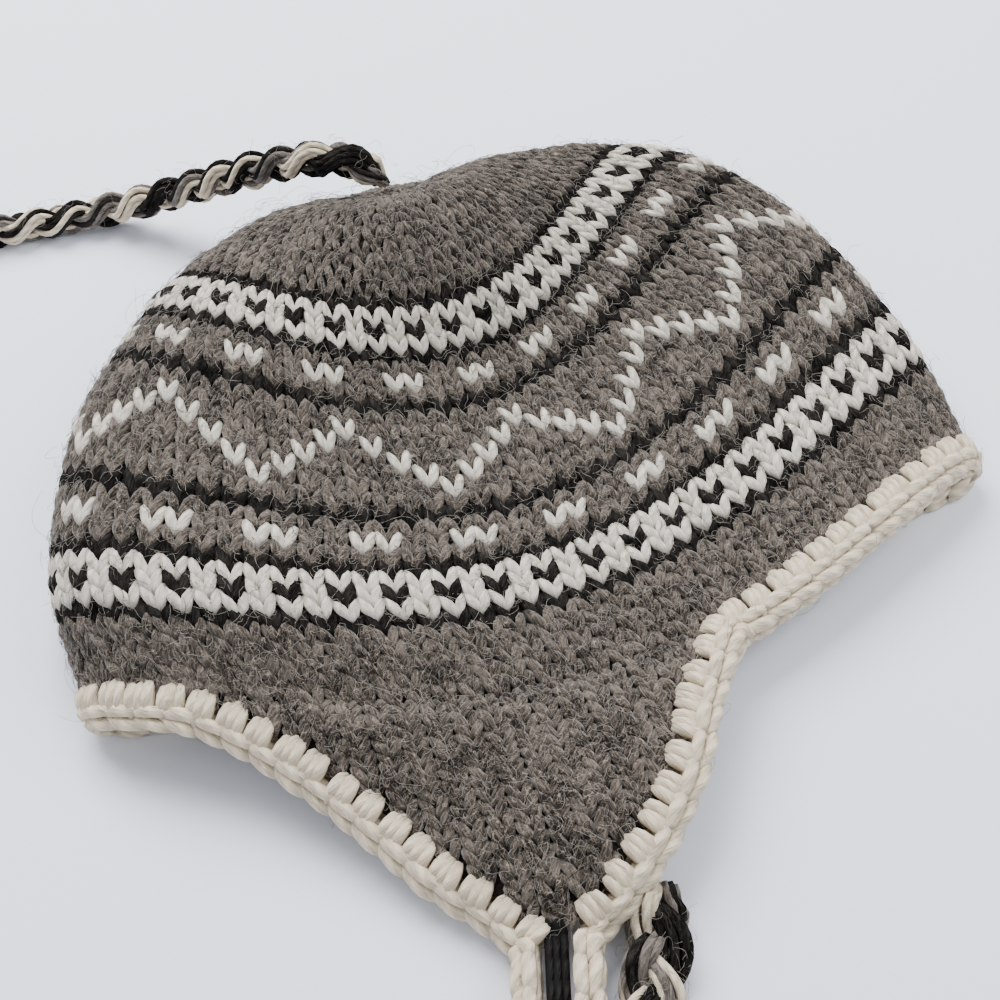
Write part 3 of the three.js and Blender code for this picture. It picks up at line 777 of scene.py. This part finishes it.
def yarn_group():
    """Colour and normal of spun yarn: fibres running along it, its twist, a tone per strand, and painted
    shade in its grooves and where strands go under each other.
    """
    if "yarn_look" in bpy.data.node_groups:
        return bpy.data.node_groups["yarn_look"]
    tree, start, end = new_group(
        "yarn_look",
        (("Dark", "NodeSocketColor"), ("Light", "NodeSocketColor"), ("Twist", "NodeSocketFloat"),
         ("Streaks", "NodeSocketFloat"), ("Fibres", "NodeSocketFloat")),
        (("Color", "NodeSocketColor"), ("Normal", "NodeSocketVector")),
    )
    new, link = tree.nodes.new, tree.links.new

    def times(a, b):
        return math_node(tree, "MULTIPLY", a, b)

    def times_add(a, b, c):
        return math_node(tree, "MULTIPLY_ADD", a, b, c)

    def attribute(name):
        node = new("ShaderNodeAttribute")
        node.attribute_name = name
        return node.outputs["Fac"]

    uv = new("ShaderNodeUVMap")
    uv.uv_map = "yarn"
    split = new("ShaderNodeSeparateXYZ")
    link(uv.outputs["UV"], split.inputs[0])
    u, v = split.outputs[0], split.outputs[1]
    shade = attribute("tone")
    place = new("ShaderNodeTexCoord").outputs["Object"]

    # Two plies wound round each other, and long streaks of fibre along them
    ply = math_node(tree, "SINE", times(times_add(u, start.outputs["Twist"], times(v, 2.0)), 2 * math.pi))
    spot = new("ShaderNodeCombineXYZ")
    link(times(u, 1.6), spot.inputs[0])
    link(times_add(v, 15.0, times_add(u, 2.5, times(shade, 60.0))), spot.inputs[1])
    streak = noise_node(tree, spot.outputs[0], 1.0, 2.0)
    amount = times(range_node(tree, streak, 0.42, 0.66), start.outputs["Streaks"])

    # Paler and darker patches of the cloth, and paler and darker strands
    patch = noise_node(tree, place, 160.0, 0.0)
    amount = times_add(patch, 0.5, math_node(tree, "SUBTRACT", amount, 0.25))
    amount = times_add(shade, 0.16, amount)

    # Thin curled fibres, where the noise crosses its middle
    for size, thin in ((430.0, 0.014), (760.0, 0.02)):
        curl = noise_node(tree, place, size, 0.0)
        off = math_node(tree, "ABSOLUTE", math_node(tree, "SUBTRACT", curl, 0.5))
        amount = times_add(range_node(tree, off, thin, 0.0), start.outputs["Fibres"], amount)
    limit = new("ShaderNodeClamp")
    link(amount, limit.inputs["Value"])
    mix = new("ShaderNodeMix")
    mix.data_type = "RGBA"
    link(limit.outputs[0], mix.inputs["Factor"])
    link(start.outputs["Dark"], mix.inputs[6])
    link(start.outputs["Light"], mix.inputs[7])

    # Painted shade: colour darker between the plies and where one strand goes under the next
    painted_groove_shade = times(times_add(ply, 0.12, 0.88), times_add(attribute("painted_hollow_shade"), -0.7, 1.0))
    dim = new("ShaderNodeVectorMath")
    dim.operation = "SCALE"
    link(mix.outputs[2], dim.inputs[0])
    link(painted_groove_shade, dim.inputs["Scale"])
    link(dim.outputs[0], end.inputs["Color"])
    bump = new("ShaderNodeBump")
    bump.inputs["Strength"].default_value = 0.8
    bump.inputs["Distance"].default_value = 0.0005
    link(times_add(ply, 0.45, times(streak, 1.4)), bump.inputs["Height"])
    link(bump.outputs[0], end.inputs["Normal"])
    return tree


def wool(name, dark, light, twist=0.8, streaks=0.8, rough=0.95, sheen=0.25, shine=0.08, fibres=0.5):
    """Material of one kind of yarn, made once."""
    if name in bpy.data.materials:
        return bpy.data.materials[name]
    m = bpy.data.materials.new(name)
    m.use_nodes = True
    tree = m.node_tree
    shader = next(n for n in tree.nodes if n.type == "BSDF_PRINCIPLED")
    yarn = tree.nodes.new("ShaderNodeGroup")
    yarn.node_tree = yarn_group()
    for socket, value in (("Dark", (*dark, 1)), ("Light", (*light, 1)), ("Twist", twist),
                          ("Streaks", streaks), ("Fibres", fibres)):
        yarn.inputs[socket].default_value = value
    tree.links.new(yarn.outputs["Color"], shader.inputs["Base Color"])
    tree.links.new(yarn.outputs["Normal"], shader.inputs["Normal"])
    shader.inputs["Roughness"].default_value = rough
    shader.inputs["Specular IOR Level"].default_value = shine
    shader.inputs["Sheen Weight"].default_value = sheen
    shader.inputs["Sheen Roughness"].default_value = 0.5
    shader.inputs["Sheen Tint"].default_value = (1.0, 0.95, 0.9, 1)
    return m


def colour(label, value, note):
    """Setting of one colour."""
    return bpy.props.FloatVectorProperty(
        name=label, description=note, default=value, subtype="COLOR", size=3, min=0, max=1)


class HAT_PG_camera(bpy.types.PropertyGroup):
    azimuth: bpy.props.FloatProperty(
        name="Azimuth", description="Way round the hat", default=math.radians(-20), subtype="ANGLE")
    elevation: bpy.props.FloatProperty(
        name="Elevation", description="Height above the floor", default=math.radians(50.5), subtype="ANGLE")
    distance: bpy.props.FloatProperty(
        name="Distance", description="Lens to target", default=0.426, unit="LENGTH")
    field: bpy.props.FloatProperty(
        name="Field of view", description="Angle the picture spans", default=math.radians(39.1),
        subtype="ANGLE")
    target: bpy.props.FloatVectorProperty(
        name="Target", description="Point on the floor at the picture's centre",
        default=(-0.00508, 0.01412, 0.0), subtype="TRANSLATION")


class HAT_OT_camera(bpy.types.Operator):
    """Camera at the photograph's angle"""
    bl_idname = "hat.camera"
    bl_label = "Camera"

    def execute(self, context):
        k = context.scene.hat_camera
        data = bpy.data.cameras.new("camera")
        data.sensor_fit = "HORIZONTAL"
        data.angle = k.field
        data.clip_start = 0.01
        data.clip_end = 20
        obj = bpy.data.objects.new("camera", data)
        context.scene.collection.objects.link(obj)
        a, e = k.azimuth, k.elevation
        back = Vector((math.sin(a) * math.cos(e), -math.cos(a) * math.cos(e), math.sin(e)))
        right = Vector((math.cos(a), math.sin(a), 0))
        up = back.cross(right)
        turn = Matrix((right, up, back)).transposed().to_4x4()
        obj.matrix_world = Matrix.Translation(Vector(k.target) + back * k.distance) @ turn
        context.scene.camera = obj
        return {"FINISHED"}


class HAT_PG_wool(bpy.types.PropertyGroup):
    grey: colour("Grey", (0.0085, 0.0066, 0.0054), "Ground yarn")
    grey_light: colour("Grey fibres", (0.30, 0.247, 0.203), "Pale fibres in the ground yarn")
    black: colour("Black", (0.004, 0.0037, 0.0034), "Dark bands")
    black_light: colour("Black fibres", (0.06, 0.054, 0.049), "Pale fibres in the dark bands")
    white: colour("White", (0.80, 0.74, 0.64), "Pattern yarn")
    trim: colour("Trim", (0.84, 0.72, 0.54), "Crochet edging")
    fibre: colour("Fibres", (0.66, 0.60, 0.53), "Loose hairs")
    brown: colour("Brown", (0.075, 0.062, 0.054), "Grey-brown yarns of the plaits")
    brown_light: colour("Brown fibres", (0.25, 0.215, 0.19), "Pale fibres in the grey-brown yarns")
    strand: colour("Tip strand", (0.004, 0.0038, 0.0036), "Black strand at the front flap's tip")
    strand_light: colour("Tip strand fibres", (0.016, 0.015, 0.014), "Pale fibres in the black strand")


def scaled(value, share):
    """A colour made lighter or darker."""
    return [min(1, share * c) for c in value]


def grey_wool():
    k = bpy.context.scene.hat_wool
    return wool("grey_yarn", k.grey, k.grey_light, streaks=0.42, fibres=1.0)


def black_wool():
    k = bpy.context.scene.hat_wool
    return wool("black_yarn", k.black, k.black_light, streaks=0.35, sheen=0.0, fibres=0.4, shine=0.03)


def white_wool():
    k = bpy.context.scene.hat_wool
    return wool("white_yarn", scaled(k.white, 0.78), scaled(k.white, 1.12), streaks=0.6, sheen=0.05)


def trim_wool():
    k = bpy.context.scene.hat_wool
    return wool("trim_yarn", scaled(k.trim, 0.82), scaled(k.trim, 1.1), streaks=0.5, sheen=0.1)


def backing_wool_with_painted_shade():
    k = bpy.context.scene.hat_wool
    # The backing is the cloth behind the stitches, coloured far darker than the grey yarn: painted shade
    # where it shows between the stitches
    return wool("backing_yarn_painted_shade", scaled(k.grey, 0.5), scaled(k.grey, 4.0), twist=0.0, sheen=0.1)


def brown_wool():
    k = bpy.context.scene.hat_wool
    return wool("plait_brown", k.brown, k.brown_light)


def strand_wool():
    k = bpy.context.scene.hat_wool
    return wool("black_strand", k.strand, k.strand_light,
                rough=0.6, shine=0.15, sheen=0.0, fibres=0.1, streaks=0.3)


def fibre_wool(pale):
    k = bpy.context.scene.hat_wool
    base = k.fibre if pale else scaled(k.grey, 2.0)
    name = "pale_fibre" if pale else "dark_fibre"
    return wool(name, scaled(base, 0.8), base, streaks=0.3, sheen=0.0, rough=0.7)


class HAT_PG_knit(bpy.types.PropertyGroup):
    yarn: bpy.props.FloatProperty(
        name="Yarn", description="Thickness of the yarn against the chart's", default=1.0, min=0.5, max=1.5,
        subtype="FACTOR")
    white_lift: bpy.props.FloatProperty(
        name="White lift", description="How far white stitches stand proud, in mm", default=0.4)
    black_drop: bpy.props.FloatProperty(
        name="Black drop", description="How far black stitches lie deeper, in mm", default=0.15)
    heart_lift: bpy.props.FloatProperty(
        name="Heart lift", description="How far the black hearts stand proud, in mm", default=0.65)


class HAT_OT_cloth(bpy.types.Operator):
    """Backing of the wall, the crown and the two ear flaps, dark as painted shade between the stitches"""
    bl_idname = "hat.cloth"
    bl_label = "Cloth backing"

    def execute(self, context):
        core = backing_wool_with_painted_shade()
        turn, row = np.meshgrid(np.arange(240) / 240, np.linspace(0, CROWN_START, 61))
        obj = cloth("wall_backing", *WALL.read(turn, row), True, False, core)
        declare(obj, "body")
        turn, row = np.meshgrid(np.arange(160) / 160, np.linspace(CROWN_START, LAST_RING, 27))
        obj = cloth("crown_backing", *gather(*WALL.read(turn, row)), True, False, core)
        declare(obj, "crown")
        for flap, node in ((UPPER, "ear_flap_upper"), (UNDER, "ear_flap_under")):
            u, row = np.meshgrid(np.linspace(0, 1, 41), np.linspace(0, FLAP_ROWS, 39))
            obj = cloth(node + "_backing", *flap.at(u, row), False, flap.side > 0, core)
            declare(obj, node)
        return {"FINISHED"}


UNDER_TURNS = (0.56, 0.96)  # the part of the ring that lies on the floor
ROW_SHIFT = 0.3  # a stitch's middle above the start of its row


class HAT_OT_knit(bpy.types.Operator):
    """Knitted stitches of the wall, with the patterned bands, in each colour of yarn"""
    bl_idname = "hat.knit"
    bl_label = "Knitted wall"

    def execute(self, context):
        k = context.scene.hat_knit
        groups = {(yarn, half): [] for yarn in (GREY, BLACK, WHITE) for half in (0, 1)}
        for row in range(0, CROWN_START):
            wales = WALES if row < NARROW_START else NARROW_WALES
            wale = np.arange(wales)
            yarns = chart(row, wale)
            turn = ((wale - FIRST_WALE) / wales) % 1
            under = (turn > UNDER_TURNS[0]) & (turn < UNDER_TURNS[1])
            width = WALL.size(row) / wales
            scale = k.yarn * width / STITCH_WIDTH
            lift = (0.0, k.heart_lift if row in HEART_ROWS else -k.black_drop, k.white_lift)
            for (yarn, half), found in groups.items():
                pick = wale[(yarns == yarn) & (under == bool(half))].astype(float)
                each = np.ones(len(pick))
                if len(pick):
                    found.append(stitch_legs(
                        wall_surface(wales), pick, each * (row + ROW_SHIFT), each * scale, each * lift[yarn],
                        False, row * 7 + yarn + 50 * half))
        for (yarn, half), found in groups.items():
            name = ("grey", "black", "white")[yarn] + ("_stitches_upper", "_stitches_under")[half]
            material = (grey_wool, black_wool, white_wool)[yarn]()
            obj = knit_object(name, found, material, (6, 4)[half])
            declare(obj)
        return {"FINISHED"}


CROWN_WEDGES = 8
CENTRE_STITCHES = 7


class HAT_OT_crown(bpy.types.Operator):
    """Stitches of the crown, fewer in each row up to its middle"""
    bl_idname = "hat.crown"
    bl_label = "Knitted crown"

    def execute(self, context):
        found = []
        for row in range(CROWN_START, CROWN_ROW):
            wales = CROWN_WEDGES * max(1, round(8.6 - (row - CROWN_START) * 0.58))
            each = np.ones(wales)
            scale = min(1.15, WALL.size(row) / wales / STITCH_WIDTH)
            surface = lambda w, r, c=wales: WALL.read((w + 0.5) / c, np.minimum(r, LAST_RING))
            wale = np.arange(wales, dtype=float)
            found.append(stitch_legs(
                surface, wale, each * (row + ROW_SHIFT), each * scale, each * 0, False, row))
        turn = np.arange(60) / 60
        last, before = (WALL.read(turn, np.full(60, row))[0] for row in (LAST_RING, 41.0))
        middle, out = middle_of(last, before)

        def drawn_in(w, r):
            """The last ring, drawn in to its middle as the row goes past the end."""
            p, _ = WALL.read((w + 0.5) / CENTRE_STITCHES, np.full(np.shape(w), LAST_RING))
            p = middle + (p - middle) * (1.15 - 0.8 * (np.asarray(r) - CROWN_ROW))[..., None]
            return p, np.broadcast_to(out, p.shape)

        each = np.ones(CENTRE_STITCHES)
        wale = np.arange(CENTRE_STITCHES, dtype=float)
        found.append(stitch_legs(
            drawn_in, wale, each * (CROWN_ROW + ROW_SHIFT), each * 0.75, each * 0, False, CROWN_ROW))
        declare(knit_object("crown_stitches", found, grey_wool()))
        return {"FINISHED"}


class HAT_OT_flaps(bpy.types.Operator):
    """Stitches of the two ear flaps, running down to their tips"""
    bl_idname = "hat.flaps"
    bl_label = "Knitted ear flaps"

    def execute(self, context):
        for flap, name in ((UPPER, "ear_flap_upper_stitches"), (UNDER, "ear_flap_under_stitches")):
            found = []
            for row in np.arange(0.4, FLAP_ROWS - 0.3, 1.0):
                left, right = (float(edge) for edge in flap.edges(np.array(row)))
                first = math.ceil(left + 0.1 - 0.5) + 0.5
                wale = np.arange(first, right - 0.1, 1.0)
                if len(wale) == 0:
                    continue
                each = np.ones(len(wale))
                p, _ = flap.read(np.array([left, right]), np.array([row, row]))
                width = np.linalg.norm(p[1] - p[0]) / max(right - left, 0.5)
                found.append(stitch_legs(
                    flap.read, wale, each * row, each * min(1.1, width / 6.6), each * 0, True, int(row * 3)))
            declare(knit_object(name, found, grey_wool()))
        return {"FINISHED"}


class HAT_PG_edging(bpy.types.PropertyGroup):
    pitch: bpy.props.FloatProperty(
        name="Pitch", description="Length of one crochet stitch, in mm", default=8.3, min=4, max=12)
    strand: bpy.props.FloatProperty(
        name="Strand", description="Radius of the crochet yarn, in mm", default=1.62, min=0.5, max=2.5)
    core: bpy.props.FloatProperty(
        name="Core", description="Radius of the yarn inside the chain, in mm", default=2.6, min=1, max=4)


CORE_OUT = 4.6  # mm from the trim's line to the yarn inside the chain
TIP_STRAND_WAY = np.array([0.94, -0.34, 0.0])  # across the three strands at the flap's tip


def tip_strand():
    """Three black strands side by side, out of the knit at the front flap's tip and into the cord."""
    count = 40
    row = np.linspace(17.3, 24.2, count)
    p, n = UPPER.at(np.full(count, 0.5), np.minimum(row, FLAP_ROWS))
    p = p + np.maximum(row - FLAP_ROWS, 0)[:, None] * BEYOND_TIP
    high = np.interp(row, [17.3, 18.2, 19, 22.2, 24.2], [-0.5, 2.0, 1.8, 0.9, -0.6])
    paths = np.array([
        p + TIP_STRAND_WAY * (i * 1.75) + n * (high - 0.35 * abs(i))[:, None] for i in (-1, 0, 1)
    ])
    points, quads, uv, _ = tubes(paths, np.full((3, count), 1.1), n[None], sides=8)
    return make_object("tip_strand", points, quads, uv, np.full(len(points), 0.2), [strand_wool()])


class HAT_OT_edging(bpy.types.Operator):
    """Crocheted edging round the rim and the flaps, and the black strand at the front flap's tip"""
    bl_idname = "hat.edging"
    bl_label = "Crochet edging"

    def execute(self, context):
        k = context.scene.hat_edging
        trim = Trim()
        material = trim_wool()
        paths, radii, normals = loops(trim, k.pitch, k.strand)
        points, quads, uv, which = tubes(paths, radii, normals)
        tone = np.random.default_rng(2).uniform(0, 1, len(paths))[which]
        # Painted shade: the crochet strands are darkened where they go under each other
        painted_hollow_shade = np.tile(np.repeat(LOOP_HOLLOW_SHADE, 6), len(paths))
        declare(make_object("edging_loops", points, quads, uv, tone, [material], painted_hollow_shade=painted_hollow_shade))
        path = trim.p + trim.out * CORE_OUT
        ring, normal = (np.vstack([v, v[:1]])[None] for v in (path, trim.n))
        points, quads, uv, _ = tubes(ring, np.full(ring.shape[:2], k.core), normal, sides=10)
        core = make_object("edging_core", points, quads, uv, np.full(len(points), 0.3), [material])
        declare(core, "edging")
        declare(tip_strand())
        return {"FINISHED"}


def cord_hairs(rng, thick):
    """Hairs that stand off the three plaited cords."""
    starts, outward = [], []
    for line, radius in ((TOP_BRAID, TOP_RADIUS), (UNDER_BRAID, FLAP_RADIUS), (UPPER_BRAID, FLAP_RADIUS)):
        path, _ = catmull(line, 220)
        up, side = frames_along(path)
        angle = rng.uniform(-0.6, math.pi + 0.6, len(path))[:, None]
        out = side * np.cos(angle) + up * np.sin(angle)
        starts.append(path + out * radius * 0.95)
        outward.append(unit(out))
    return hairs(np.concatenate(starts), np.concatenate(outward), 7, 3.0, 1.9, thick, 11, 12)


class HAT_PG_fuzz(bpy.types.PropertyGroup):
    count: bpy.props.IntProperty(
        name="Count", description="Fine hairs on the cloth", default=7600, min=100, max=9000)
    length: bpy.props.FloatProperty(
        name="Length", description="Usual length of a hair, in mm", default=6.5, min=1, max=20)
    radius: bpy.props.FloatProperty(
        name="Radius", description="Radius of a hair, in mm", default=0.062, min=0.02, max=0.2)
    stray: bpy.props.IntProperty(
        name="Stray", description="Long hairs on the wall, and as many on the trim", default=420, min=1,
        max=2000)


WHITE_ROWS = ((5.6, 9), (25.6, 29))  # the two bands that are mostly white


def hair_object(name, path, radii, normal, rng, material):
    """One piece of many hairs."""
    points, quads, uv, which = tubes(path, radii, normal, sides=3)
    obj = make_object(name, points, quads, uv, rng.uniform(0, 1, len(path))[which], [material])
    declare(obj)


class HAT_OT_fuzz(bpy.types.Operator):
    """Loose wool hairs over the cloth and along its edges"""
    bl_idname = "hat.fuzz"
    bl_label = "Loose hairs"

    def execute(self, context):
        k = context.scene.hat_fuzz
        rng = np.random.default_rng(31)
        self.fine_hairs(k, rng)
        self.stray_hairs(k, rng)
        return {"FINISHED"}

    def fine_hairs(self, k, rng):
        """Short hairs close over the upper layer and its flap, mostly pale ones over white bands."""
        turn = rng.uniform(-0.04, 0.56, k.count)
        row = rng.uniform(0, CROWN_ROW - 0.5, k.count)
        keep = rng.uniform(0, 1, k.count) < WALL.size(row) / WALL.size(0)
        wall_p, wall_n = WALL.read(turn[keep], row[keep])
        at = row[keep]
        row = rng.uniform(0, FLAP_ROWS, k.count // 4)
        left, right = UPPER.edges(row)
        keep = rng.uniform(0, 1, len(row)) < (right - left) / 44
        flap_p, flap_n = UPPER.at(rng.uniform(0, 1, len(row))[keep], row[keep])
        p = np.concatenate([wall_p, flap_p])
        n = np.concatenate([wall_n, flap_n])
        p = p + n * rng.uniform(2.3, 3.1, (len(p), 1))
        pale = rng.uniform(0, 1, len(p)) < 0.75
        banded = np.zeros(len(p), bool)
        for low, high in WHITE_ROWS:
            banded[:len(at)] |= (at > low) & (at < high)
        pale |= banded & (rng.uniform(0, 1, len(p)) < 0.7)
        for name, pick, thick in (("pale_hairs", pale, 1.0), ("dark_hairs", ~pale, 1.2)):
            found = hairs(p[pick], n[pick], k.length, 1.2, 2.2, k.radius * thick, 6, 5)
            hair_object(name, *found, rng, fibre_wool(name == "pale_hairs"))

    def stray_hairs(self, k, rng):
        """Long hairs that stand off the wall, the trim and the cords."""
        thick = k.radius * 0.85
        turn = rng.uniform(-0.05, 0.55, k.stray)
        row = rng.uniform(0, CROWN_ROW - 1, k.stray)
        p, n = WALL.read(turn, row)
        on_wall = hairs(p + n * 2.2, n, 15, 6.0, 1.8, thick, 11, 8)
        trim = Trim()
        i = rng.integers(0, len(trim.p), k.stray)
        start = trim.p[i] + trim.out[i] * rng.uniform(2, 7, (k.stray, 1))
        on_trim = hairs(start, trim.out[i], 10, 4.5, 1.9, thick, 11, 9)
        found = (np.concatenate(v) for v in zip(on_wall, on_trim, cord_hairs(rng, thick)))
        hair_object("stray_hairs", *found, rng, fibre_wool(True))


# Piece, its node, its tassel's node, line, radius, knot's radius, length of the loose ends, seed
CORDS = (
    ("top_cord", "top_braid", "top_tassel", TOP_BRAID, TOP_RADIUS, 7.5, 34, 3),
    ("flap_cord_upper", "flap_braid_upper", "flap_tassel_upper", UPPER_BRAID, FLAP_RADIUS, 9, 38, 5),
    ("flap_cord_under", "flap_braid_under", "flap_tassel_under", np.vstack([UNDER_START, UNDER_BRAID]),
     FLAP_RADIUS, 9, 38, 7),
)


class HAT_OT_cords(bpy.types.Operator):
    """Three plaited cords with their knots and tassels"""
    bl_idname = "hat.cords"
    bl_label = "Cords"

    def execute(self, context):
        yarns = [trim_wool(), black_wool(), brown_wool()]
        for name, node, tassel_node, line, radius, knot, fan, seed in CORDS:
            obj, path, length = plait(name, line, radius, seed, yarns)
            end = tassel(tassel_node + "_yarn", line, knot, fan, seed + 20, yarns)
            declare(obj, node)
            declare(end, tassel_node)
            where = [tuple(point) for point in (path + ORIGIN) * 0.001]
            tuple(where[0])
        return {"FINISHED"}


class HAT_PG_stage(bpy.types.PropertyGroup):
    floor: colour("Floor", (0.885, 0.91, 1.0), "Paper the hat lies on")
    world: colour("Sky", (0.90, 0.94, 1.0), "Light from all round")
    fill: bpy.props.FloatProperty(
        name="Fill", description="Strength of the light from all round", default=0.8, min=0, max=5)
    power: bpy.props.FloatProperty(
        name="Lamp", description="Power of the soft lamp overhead", default=30.0, min=0, max=200,
        unit="POWER")


# Place, the point that it faces, size and share of the power
LAMPS = (
    ((-0.15, 0.75, 1.0), (0, 0.03, 0), 0.9, 1.0),
    ((0.9, -0.2, 1.1), (0, 0.0, 0), 0.8, 0.35),
)


class HAT_OT_stage(bpy.types.Operator):
    """Floor, soft lamps and sky"""
    bl_idname = "hat.stage"
    bl_label = "Stage"

    def execute(self, context):
        k = context.scene.hat_stage
        bpy.ops.object.select_all(action="DESELECT")
        bpy.ops.mesh.primitive_plane_add(size=8)
        floor = context.active_object
        floor.name = "floor"
        m = bpy.data.materials.new("floor")
        m.use_nodes = True
        shader = next(n for n in m.node_tree.nodes if n.type == "BSDF_PRINCIPLED")
        shader.inputs["Base Color"].default_value = (*k.floor, 1)
        shader.inputs["Roughness"].default_value = 0.75
        shader.inputs["Specular IOR Level"].default_value = 0.25
        floor.data.materials.append(m)
        floor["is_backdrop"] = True
        world = bpy.data.worlds.new("sky")
        world.use_nodes = True
        back = next(n for n in world.node_tree.nodes if n.type == "BACKGROUND")
        back.inputs["Color"].default_value = (*k.world, 1)
        back.inputs["Strength"].default_value = k.fill
        context.scene.world = world
        for spot, aim, size, share in LAMPS:
            light = bpy.data.lights.new("lamp", "AREA")
            light.shape = "SQUARE"
            light.size = size
            light.energy = k.power * share
            obj = bpy.data.objects.new("lamp", light)
            context.scene.collection.objects.link(obj)
            obj.location = spot
            obj.rotation_euler = (Vector(aim) - Vector(spot)).to_track_quat("-Z", "Y").to_euler()
        return {"FINISHED"}


GROUPS = (
    ("hat_camera", HAT_PG_camera),
    ("hat_wool", HAT_PG_wool),
    ("hat_knit", HAT_PG_knit),
    ("hat_edging", HAT_PG_edging),
    ("hat_fuzz", HAT_PG_fuzz),
    ("hat_stage", HAT_PG_stage),
)
OPERATORS = (HAT_OT_camera, HAT_OT_cloth, HAT_OT_knit, HAT_OT_crown, HAT_OT_flaps,
             HAT_OT_edging, HAT_OT_cords, HAT_OT_fuzz, HAT_OT_stage)


class HAT_PT_panel(bpy.types.Panel):
    """Lists the pieces of the hat and their settings"""
    bl_idname = "HAT_PT_panel"
    bl_label = "Chullo hat"
    bl_space_type = "VIEW_3D"
    bl_region_type = "UI"
    bl_category = "Chullo"

    def draw(self, context):
        for operator in OPERATORS:
            self.layout.operator(operator.bl_idname)
        for name, group in GROUPS:
            box = self.layout.box()
            settings = getattr(context.scene, name)
            for key in group.__annotations__:
                box.prop(settings, key)


def register():
    """Adds the settings, the operators and the panel."""
    for name, group in GROUPS:
        bpy.utils.register_class(group)
        setattr(bpy.types.Scene, name, bpy.props.PointerProperty(type=group))
    for item in (*OPERATORS, HAT_PT_panel):
        bpy.utils.register_class(item)


def unregister():
    """Takes them out again."""
    for item in (HAT_PT_panel, *reversed(OPERATORS)):
        bpy.utils.unregister_class(item)
    for name, group in reversed(GROUPS):
        delattr(bpy.types.Scene, name)
        bpy.utils.unregister_class(group)


def main():
    """Makes every piece."""
    register()
    for operator in OPERATORS:
        family, name = operator.bl_idname.split(".")
        result = getattr(getattr(bpy.ops, family), name)()
        if result != {"FINISHED"}:
            raise RuntimeError(operator.bl_idname)
    box = lambda b: [[float(v) for v in corner] for corner in b]
    {"cad": box(CAD_BOX), "visual": box(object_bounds())}


if __name__ == "__main__":
    main()
